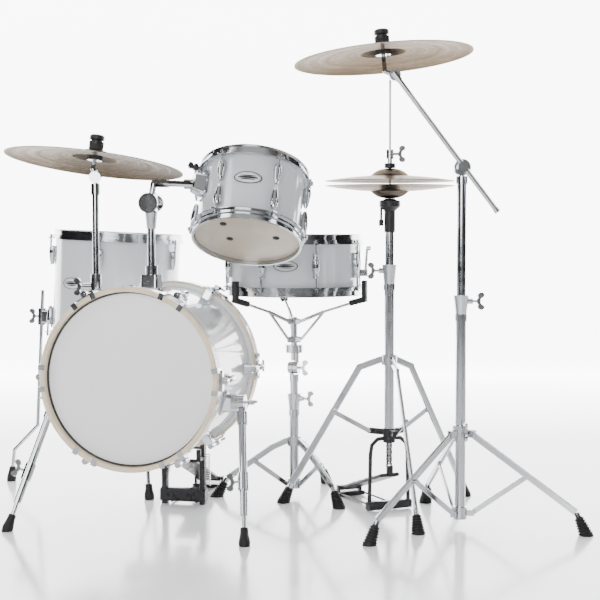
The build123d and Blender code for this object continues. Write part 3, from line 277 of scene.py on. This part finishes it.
LACQUER = lacquer()
COATED = head_film("coated_head", (0.90, 0.905, 0.92), (0.93, 0.935, 0.945), 0.42, 0.6)
CLEAR = head_film("resonant_head", (0.40, 0.34, 0.27), (0.52, 0.45, 0.36), 0.14, 0.26)
CHROME = chrome()
ALLOY = brushed()
MAPLE = maple("hoop_maple", (0.72, 0.58, 0.41), (0.84, 0.72, 0.55))
HOOP_SIDE = inlaid_side()
# near-black ring at the bass heads' rims: partly the head's own rim, partly painted shade in the gap to the
# hoop
RIM_AND_GAP_SHADE = dull("head_rim_and_gap_shade", (0.03, 0.028, 0.026), 0.4, 0.6)
RUBBER = dull("foot_rubber", (0.006, 0.006, 0.0065), 0.45, 0.7)
BLACK = dull("black_coat", (0.014, 0.014, 0.016), 0.22, 0.42, 500, 0.0002)
PLASTIC = dull("black_plastic", (0.012, 0.012, 0.013), 0.3, 0.5, 400, 0.0002)
BADGE = dull("badge_silver", (0.62, 0.63, 0.64), 0.3, 0.45, 300, 0.0002)
FELT = dull("felt_wool", (0.035, 0.034, 0.034), 0.85, 0.98, 1500, 0.0012, specular=0.1)
BEATER_FELT = dull("beater_felt", (0.55, 0.53, 0.50), 0.85, 0.98, 1300, 0.0012, specular=0.1)
HATS = bronze("hat_bronze", HIHAT, (0, 0, 1))
CRASH_BRONZE = bronze("crash_bronze", CRASH, CRASH_AXIS)
RIDE_BRONZE = bronze("ride_bronze", RIDE, RIDE_AXIS)


# Materials on the CAD nodes -------------------------------------------------------
def dress(node, *choices):
    """Gives a node its main material and, by a test on each face, the others."""
    mesh = NODES[node].data
    mesh.materials.clear()
    mesh.materials.append(choices[0])
    for material, _ in choices[1:]:
        mesh.materials.append(material)
    for face in mesh.polygons:
        face.material_index = 0
        for index, (_, test) in enumerate(choices[1:], 1):
            if test(face.center, face.normal):
                face.material_index = index


FOOT_TOP = 0.0425  # height up to which the legs of the bass drum and floor tom are rubber
STAND_FOOT_TOP, STAND_FOOT_REACH = 0.05, 0.24
HOOP_SIDE_RADIUS = 0.2165
KNOB_RADIUS, KNOB_BOTTOM = 0.02, 0.044  # over a cymbal's rim plane
GRIP_REACH = 0.16
HAT_SEAT_BOTTOM, HAT_SEAT_BORE, HAT_SEAT_RADIUS = 0.7185, 0.0115, 0.03
CLUTCH_FELT_BOTTOM, CLUTCH_FELT_TOP = 0.863, 0.896
BEATER_BOTTOM = 0.27


def rubber_tip(point, normal):
    return point.z < FOOT_TOP


def flat_distance(point, station):
    return Vector((point.x - station.x, point.y - station.y, 0)).length


def hoop_outside(point, normal):
    away = Vector((point.x - BASS.x, 0, point.z - BASS.z))
    return away.length > HOOP_SIDE_RADIUS and abs(normal.y) < 0.5


def below(centre, axis):
    return lambda point, normal: (point - centre).dot(axis) < 0


def above_bell(centre, axis):
    """Test for the black grooved nut over a cymbal's bell."""

    def test(point, normal):
        offset = point - centre
        return offset.dot(axis) > KNOB_BOTTOM and offset.cross(axis).length < KNOB_RADIUS

    return test


def boom_foot(point, normal):
    return point.z < STAND_FOOT_TOP and flat_distance(point, BOOM) > STAND_FOOT_REACH


def basket_grip(point, normal):
    return flat_distance(point, SNARE) > GRIP_REACH


def hat_seat(point, normal):
    return point.z > HAT_SEAT_BOTTOM and HAT_SEAT_BORE < flat_distance(point, HIHAT) < HAT_SEAT_RADIUS


def clutch_felt(point, normal):
    return CLUTCH_FELT_BOTTOM < point.z < CLUTCH_FELT_TOP


def beater_head(point, normal):
    return point.z > BEATER_BOTTOM


dress("bass_shell", LACQUER)
dress("bass_heads", COATED)
dress("bass_hoops", MAPLE, (HOOP_SIDE, hoop_outside))
for name in ("tom", "floor_tom", "snare"):
    dress(name + "_shell", LACQUER)
    dress(name + "_hoops", CHROME)
dress("tom_heads", COATED, (CLEAR, below(TOM, TOM_AXIS)))
dress("floor_tom_heads", COATED, (CLEAR, below(FLOOR_TOM, FLOOR_AXIS)))
dress("snare_heads", COATED, (CLEAR, below(SNARE, UP)))
CHROMED = ["bass_claws", "bass_brackets", "tom_post", "tom_arm", "tom_bracket", "floor_tom_leg_brackets"]
CHROMED += ["snare_strainer", "snare_strainer_lever", "crash_tube", "snare_stand_base", "snare_stand_post"]
CHROMED += ["hihat_stand_base", "boom_stand_base", "boom_leg_collar", "boom_post", "boom_arm"]
CHROMED += ["boom_stay_front", "boom_stay_right", "boom_stay_rear"]
CHROMED += [name for name in NODES if name.endswith("_lugs")]
for name in CHROMED:
    dress(name, CHROME)
for name in ("boom_leg_front", "boom_leg_right", "boom_leg_rear"):
    dress(name, CHROME, (RUBBER, boom_foot))
for name in ("floor_tom_leg_left", "floor_tom_leg_front", "floor_tom_leg_rear", "left_spur", "right_spur"):
    dress(name, CHROME, (RUBBER, rubber_tip))
dress("crash_tilter", CHROME, (PLASTIC, above_bell(CRASH, CRASH_AXIS)))
dress("ride_tilter", CHROME, (PLASTIC, above_bell(RIDE, RIDE_AXIS)))
dress("crash_felts", FELT)
dress("ride_felts", FELT)
dress("crash_cymbal", CRASH_BRONZE)
dress("ride_cymbal", RIDE_BRONZE)
dress("hihat_bottom_cymbal", HATS)
dress("hihat_top_cymbal", HATS)
dress("snare_basket", CHROME, (RUBBER, basket_grip))
dress("hihat_tube", CHROME, (PLASTIC, hat_seat))
dress("hihat_rod", CHROME, (PLASTIC, clutch_felt))
dress("stand_feet", RUBBER)
for name in ("hihat_pedal_frame", "hihat_footboard", "bass_pedal_frame", "bass_pedal_footboard"):
    dress(name, BLACK)
dress("bass_pedal_beater", CHROME, (BEATER_FELT, beater_head))


# Trim pieces ----------------------------------------------------------------------
def piece(name, points, faces, material, body, smooth=True):
    mesh = bpy.data.meshes.new(name)
    mesh.from_pydata([tuple(point) for point in points], [], faces)
    mesh.validate()
    cleaner = bmesh.new()
    cleaner.from_mesh(mesh)
    bmesh.ops.recalc_face_normals(cleaner, faces=cleaner.faces)
    cleaner.to_mesh(mesh)
    cleaner.free()
    for face in mesh.polygons:
        face.use_smooth = smooth
    mesh.materials.append(material)
    made = bpy.data.objects.new(name, mesh)
    bpy.context.scene.collection.objects.link(made)
    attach(made, body)
    return made


class Builder:
    """Gathers loops of points into one closed mesh."""

    def __init__(self):
        self.points, self.faces = [], []

    def rings(self, loops, wrap=False):
        """Skins a row of loops, capped at both ends or, with wrap, joined end to start."""
        start, size = len(self.points), len(loops[0])
        for loop in loops:
            self.points += loop
        count = len(loops)
        for row in range(count if wrap else count - 1):
            for column in range(size):
                a = start + row * size + column
                b = start + row * size + (column + 1) % size
                step = size if row < count - 1 else -row * size
                self.faces.append((a, b, b + step, a + step))
        if not wrap:
            self.faces.append(tuple(range(start, start + size))[::-1])
            self.faces.append(tuple(range(start + (count - 1) * size, start + count * size)))

    def tube(self, path, radius, sides):
        loops = []
        for index, point in enumerate(path):
            before = path[max(index - 1, 0)]
            after = path[min(index + 1, len(path) - 1)]
            way = (after - before).normalized()
            guide = UP if abs(way.z) < 0.9 else EAST
            right = way.cross(guide).normalized()
            up = right.cross(way)
            loops.append([
                point + right * radius * cos(2 * pi * k / sides) + up * radius * sin(2 * pi * k / sides)
                for k in range(sides)
            ])
        self.rings(loops)

    def made(self, name, material, body, slot, smooth=True):
        return piece(name, self.points, self.faces, material, body, smooth)


# Each badge outline is a row of (share of the oval's size, height over the shell).
BADGE_RIM = [(1.0, 0.0001), (1.0, 0.0016), (0.99, 0.0022), (0.95, 0.0024), (0.93, 0.0018), (0.93, 0.0001)]
BADGE_FIELD = [(0.935, 0.0001), (0.935, 0.0012), (0.5, 0.0014), (0.02, 0.0015)]
BADGE_BARS = [(0.56, 0.3, 1), (0.7, 0.0, 2), (0.5, -0.32, 1)]  # half length, height, relative thickness
BAR_BOTTOM, BAR_TOP = 0.0012, 0.0022
OVAL_STEPS, BAR_STEPS = 64, 24


def badge(name, drum, angle, rise, size, body):
    """Oval badge bent round a shell: black rim, silver field and plain dark bars."""
    centre, across, axis, radius = drum
    wide, tall = size
    ahead = axis.cross(across)

    def spot(along, up, lift):
        turn = angle + along / radius
        out = across * cos(turn) + ahead * sin(turn)
        return centre + out * (radius + lift) + axis * (rise + up)

    def oval(share, lift):
        turns = [2 * pi * k / OVAL_STEPS for k in range(OVAL_STEPS)]
        return [spot(wide * share * cos(turn), tall * share * sin(turn), lift) for turn in turns]

    rim, field, bars = Builder(), Builder(), Builder()
    rim.rings([oval(share, lift) for share, lift in BADGE_RIM], wrap=True)
    rim.made(name + "_rim", PLASTIC, body, "black_metal")
    field.rings([oval(share, lift) for share, lift in BADGE_FIELD])
    field.made(name + "_field", BADGE, body, "chrome")
    for half, up, thickness in BADGE_BARS:
        loops = []
        for index in range(BAR_STEPS + 1):
            share = 2 * index / BAR_STEPS - 1
            along = wide * half * share
            swell = tall * (0.035 + 0.05 * (1 - share ** 2)) * thickness
            low, high = tall * up - swell, tall * up + swell
            corners = ((low, BAR_BOTTOM), (low, BAR_TOP), (high, BAR_TOP), (high, BAR_BOTTOM))
            loops.append([spot(along, height, lift) for height, lift in corners])
        bars.rings(loops)
    bars.made(name + "_bars", PLASTIC, body, "black_metal")


TOM_DRUM = (TOM, EAST, TOM_AXIS, shell_radius("tom_shell", TOM, TOM_AXIS))
SNARE_DRUM = (SNARE, ACROSS, UP, shell_radius("snare_shell", SNARE, UP))
FLOOR_ACROSS = DEPTH.cross(FLOOR_AXIS).normalized()
FLOOR_DRUM = (FLOOR_TOM, FLOOR_ACROSS, FLOOR_AXIS, shell_radius("floor_tom_shell", FLOOR_TOM, FLOOR_AXIS))
TOM_BADGE_SIZE, SNARE_BADGE_SIZE = (0.034, 0.0155), (0.032, 0.014)  # half width and half height
badge("tom_badge", TOM_DRUM, radians(-81), 0.012, TOM_BADGE_SIZE, "tom")
badge("snare_badge", SNARE_DRUM, radians(-97), 0.0, SNARE_BADGE_SIZE, "snare")
badge("floor_tom_badge", FLOOR_DRUM, radians(-127), 0.012, TOM_BADGE_SIZE, "kit")


CHAIN_TURN = radians(37)  # heading of the hi-hat pedal's axle
CHAIN_BOTTOM, CHAIN_PITCH, CHAIN_LINKS = 0.112, 0.0085, 8
INNER_PLATE, OUTER_PLATE, PLATE_HALF_THICK = 0.0048, 0.0064, 0.0006
PLATE_HALF_WIDTH, PLATE_END, PLATE_STEPS = 0.0042, 0.0036, 16
PIN_HALF_LENGTH, ROLLER_RADIUS = 0.0078, 0.0022


def drive_chain():
    """Roller chain between the hi-hat's pull rod and its footboard."""
    plates, rollers = Builder(), Builder()
    across = Vector((cos(CHAIN_TURN), sin(CHAIN_TURN), 0))
    depth = Vector((-sin(CHAIN_TURN), cos(CHAIN_TURN), 0))
    for index in range(CHAIN_LINKS):
        low = HIHAT + UP * (CHAIN_BOTTOM + index * CHAIN_PITCH)
        outline = []
        for k in range(PLATE_STEPS):
            turn = 2 * pi * k / PLATE_STEPS
            lift = CHAIN_PITCH if sin(turn) > 0 else 0
            outline.append(low + depth * PLATE_HALF_WIDTH * cos(turn) + UP * (lift + PLATE_END * sin(turn)))
        for side in (-1, 1):
            gap = (INNER_PLATE if index % 2 else OUTER_PLATE) * side
            faces = (gap - PLATE_HALF_THICK, gap + PLATE_HALF_THICK)
            plates.rings([[spot + across * shift for spot in outline] for shift in faces])
        rollers.tube([low - across * PIN_HALF_LENGTH, low + across * PIN_HALF_LENGTH], ROLLER_RADIUS, 12)
    plates.made("hihat_chain_plates", BLACK, "hihat_pull_rod", "black_metal", smooth=False)
    rollers.made("hihat_chain_rollers", ALLOY, "hihat_pull_rod", "chrome")


drive_chain()


# Sections of turned pieces: rows of (radius, height over the face they lie on).
HEAD_RIM = [(0.202, 0.0011), (0.2061, 0.0011), (0.2061, 0.005), (0.205, 0.0058), (0.202, 0.0034)]
PAD_SIDE = [(0.0084, 0), (0.0084, 0.0012), (0.0076, 0.0018), (0.002, 0.0019)]
RIM_STEPS, PAD_STEPS = 96, 40


def turned(centre, right, forward, axis, section, steps):
    """Loops of a section turned about an axis, for Builder.rings."""
    turns = [2 * pi * k / steps for k in range(steps)]
    return [
        [centre + right * away * cos(turn) + forward * away * sin(turn) + axis * lift for turn in turns]
        for away, lift in section
    ]


def head_ring(name, edge, outward):
    """Rim of a bass head, seen between its film and the wooden hoop; its near-black colour is partly the
    rim's own and partly painted shade in the gap.
    """
    ring = Builder()
    centre = Vector((BASS.x, edge, BASS.z))
    ring.rings(turned(centre, EAST, UP, Vector((0, outward, 0)), HEAD_RIM, RIM_STEPS), wrap=True)
    ring.made(name, RIM_AND_GAP_SHADE, "kit", "black_metal")


shell_low, shell_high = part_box("bass_shell")
head_ring("bass_front_head_rim", shell_low[1], -1)
head_ring("bass_rear_head_rim", shell_high[1], 1)

PAD_SPOTS = [(-0.043, 0.0), (0.073, -0.004), (-0.04, -0.08)]  # to the right of and behind the drum's axis


def damping_pads():
    """Round soft pads stuck on the rack tom's lower head."""
    pads = Builder()
    behind = TOM_AXIS.cross(EAST)
    film = TOM - TOM_AXIS * (TOM_DEPTH / 2 + FILM_TOP)
    for right, back in PAD_SPOTS:
        centre = film + EAST * right + behind * back
        pads.rings(turned(centre, EAST, behind, -TOM_AXIS, PAD_SIDE, PAD_STEPS))
    pads.made("tom_damping_pads", RUBBER, "tom", "rubber")


damping_pads()

WIRE_TURN = VIEW_TURN + radians(-4)
WIRE_COUNT, WIRE_PITCH, WIRE_RADIUS, WIRE_HALF_LENGTH = 18, 0.0024, 0.0006, 0.118
WIRE_STEPS, WIRE_RIPPLE = 60, 0.0003
WIRES_BELOW_MIDDLE = 0.0731
PLATE_REACH, PLATE_HALF = 0.122, 0.0006
WIRE_PLATE = [(-0.007, -0.024), (0.007, -0.02), (0.007, 0.02), (-0.007, 0.024)]


def snare_wires():
    """Coiled strands under the snare's lower head, held by a plate at each end."""
    strands, plates = Builder(), Builder()
    out = Vector((cos(WIRE_TURN), sin(WIRE_TURN), 0))
    side = Vector((-sin(WIRE_TURN), cos(WIRE_TURN), 0))
    low = SNARE - UP * WIRES_BELOW_MIDDLE
    for index in range(WIRE_COUNT):
        start = low + side * (index - (WIRE_COUNT - 1) / 2) * WIRE_PITCH
        path = []
        for k in range(WIRE_STEPS + 1):
            along = WIRE_HALF_LENGTH * (2 * k / WIRE_STEPS - 1)
            path.append(start + out * along + UP * WIRE_RIPPLE * (-1) ** k)
        strands.tube(path, WIRE_RADIUS, 6)
    for end in (-1, 1):
        start = low + out * PLATE_REACH * end
        flat = [start + out * a + side * b for a, b in WIRE_PLATE]
        plates.rings([[corner + UP * lift for corner in flat] for lift in (-PLATE_HALF, PLATE_HALF)])
    strands.made("snare_wire_strands", ALLOY, "snare", "chrome")
    plates.made("snare_wire_plates", ALLOY, "snare", "chrome", smooth=False)


snare_wires()

SPRING_FOOT = Vector((0.069, 0.243, -0.3255))  # from the bass drum's middle
SPRING_RADIUS, SPRING_WIRE, SPRING_LENGTH = 0.0065, 0.0011, 0.085
SPRING_TURNS, STEPS_A_TURN = 15, 14


def pedal_spring():
    """Return spring at the side of the bass pedal."""
    coil = Builder()
    steps = SPRING_TURNS * STEPS_A_TURN
    path = []
    for k in range(steps + 1):
        turn = 2 * pi * k / STEPS_A_TURN
        offset = Vector((SPRING_RADIUS * cos(turn), SPRING_RADIUS * sin(turn), SPRING_LENGTH * k / steps))
        path.append(BASS + SPRING_FOOT + offset)
    coil.tube(path, SPRING_WIRE, 8)
    coil.made("bass_pedal_spring", ALLOY, "kit", "chrome")


pedal_spring()


# Floor, light and camera -------------------------------------------------------------
FLOOR_FRONT, FLOOR_BACK, FLOOR_HALF_WIDTH = -6.5, 3.2, 9
CURVE_RADIUS, CURVE_STEPS, WALL_TOP = 2.2, 12, 9.0
FLOOR_GAP = 0.0002  # keeps the floor just under the feet
FLOOR_GLOW, WALL_GLOW, GLOW_START, GLOW_END = 0.03, 7.5, 1.2, 4.9


def sweep():
    made = Shader("studio_floor", (0.86, 0.865, 0.875), 0.16, specular=0.5)
    made.rough_from(made.noise(5), 0.1, 0.2)
    away, _ = made.distance_along((0, 0, 0), DEPTH)
    made.shader.inputs["Emission Color"].default_value = (1, 1, 1, 1)
    glow = made.ranged(away, FLOOR_GLOW, WALL_GLOW, GLOW_START, GLOW_END)
    made.link(glow, made.shader.inputs["Emission Strength"])
    section = [(FLOOR_FRONT, 0.0), (FLOOR_BACK, 0.0)]
    for step in range(1, CURVE_STEPS + 1):
        turn = step * pi / (2 * CURVE_STEPS)
        section.append((FLOOR_BACK + CURVE_RADIUS * sin(turn), CURVE_RADIUS * (1 - cos(turn))))
    section.append((FLOOR_BACK + CURVE_RADIUS, WALL_TOP))
    points, faces = [], []
    for along, up in section:
        for side in (-FLOOR_HALF_WIDTH, FLOOR_HALF_WIDTH):
            points.append(ACROSS * side + DEPTH * along + UP * (up - FLOOR_GAP))
    for row in range(len(section) - 1):
        faces.append((2 * row, 2 * row + 1, 2 * row + 3, 2 * row + 2))
    mesh = bpy.data.meshes.new("studio_sweep")
    mesh.from_pydata([tuple(point) for point in points], [], faces)
    mesh.materials.append(made.material)
    for face in mesh.polygons:
        face.use_smooth = True
    floor = bpy.data.objects.new("studio_sweep", mesh)
    bpy.context.scene.collection.objects.link(floor)


sweep()


AIM = Vector((0, 0, 0.6))


def softbox(name, right, away, up, wide, tall, power):
    light = bpy.data.lights.new(name, "AREA")
    light.shape = "RECTANGLE"
    light.size, light.size_y, light.energy = wide, tall, power
    made = bpy.data.objects.new(name, light)
    made.location = ACROSS * right + DEPTH * away + UP * up
    made.rotation_euler = (AIM - made.location).to_track_quat("-Z", "Y").to_euler()
    bpy.context.scene.collection.objects.link(made)


softbox("key_left", -3.2, -2.2, 3.0, 1.6, 2.6, 80)
softbox("fill_right", 3.4, -1.6, 2.2, 0.8, 2.4, 30)
softbox("top", 0.3 * sin(VIEW_TURN), 0.3 * cos(VIEW_TURN), 3.9, 3.0, 2.4, 60)
softbox("front", -0.9, -4.4, 1.5, 2.2, 1.6, 90)

SIDE_START, SIDE_END = 0.3, 0.62  # share of a direction that points sideways
SIDE_SHADE = (0.08, 0.082, 0.086, 1)
SKY_LIMITS = {"From Min": -0.05, "From Max": 0.55, "To Min": 0.24, "To Max": 0.7}


def studio_world():
    """White overhead, grey ahead and dark to both sides, so that chrome and lacquer show their shape."""
    world = bpy.data.worlds.new("studio_world")
    world.use_nodes = True
    nodes, links = world.node_tree.nodes, world.node_tree.links
    direction = nodes.new("ShaderNodeTexCoord").outputs["Generated"]
    sideways = nodes.new("ShaderNodeVectorMath")
    sideways.operation = "DOT_PRODUCT"
    sideways.inputs[1].default_value = ACROSS
    links.new(direction, sideways.inputs[0])
    size = nodes.new("ShaderNodeMath")
    size.operation = "ABSOLUTE"
    links.new(sideways.outputs["Value"], size.inputs[0])
    ramp = nodes.new("ShaderNodeValToRGB")
    ramp.color_ramp.elements[0].position = SIDE_START
    ramp.color_ramp.elements[0].color = (1, 1, 1, 1)
    ramp.color_ramp.elements[1].position = SIDE_END
    ramp.color_ramp.elements[1].color = SIDE_SHADE
    links.new(size.outputs["Value"], ramp.inputs["Fac"])
    upward = nodes.new("ShaderNodeSeparateXYZ")
    links.new(direction, upward.inputs[0])
    height = nodes.new("ShaderNodeMapRange")
    for key, number in SKY_LIMITS.items():
        height.inputs[key].default_value = number
    links.new(upward.outputs["Z"], height.inputs["Value"])
    links.new(ramp.outputs["Color"], nodes["Background"].inputs["Color"])
    links.new(height.outputs["Result"], nodes["Background"].inputs["Strength"])
    bpy.context.scene.world = world


studio_world()

EYE = (0.8346, -3.5545, 0.7344)
LOOK_DOWN = radians(3.01)
lens = bpy.data.cameras.new("camera")
lens.lens, lens.sensor_width = 84.27, 36
camera = bpy.data.objects.new("camera", lens)
camera.location = EYE
camera.rotation_euler = (pi / 2 - LOOK_DOWN, 0, VIEW_TURN)
bpy.context.scene.collection.objects.link(camera)
bpy.context.scene.camera = camera
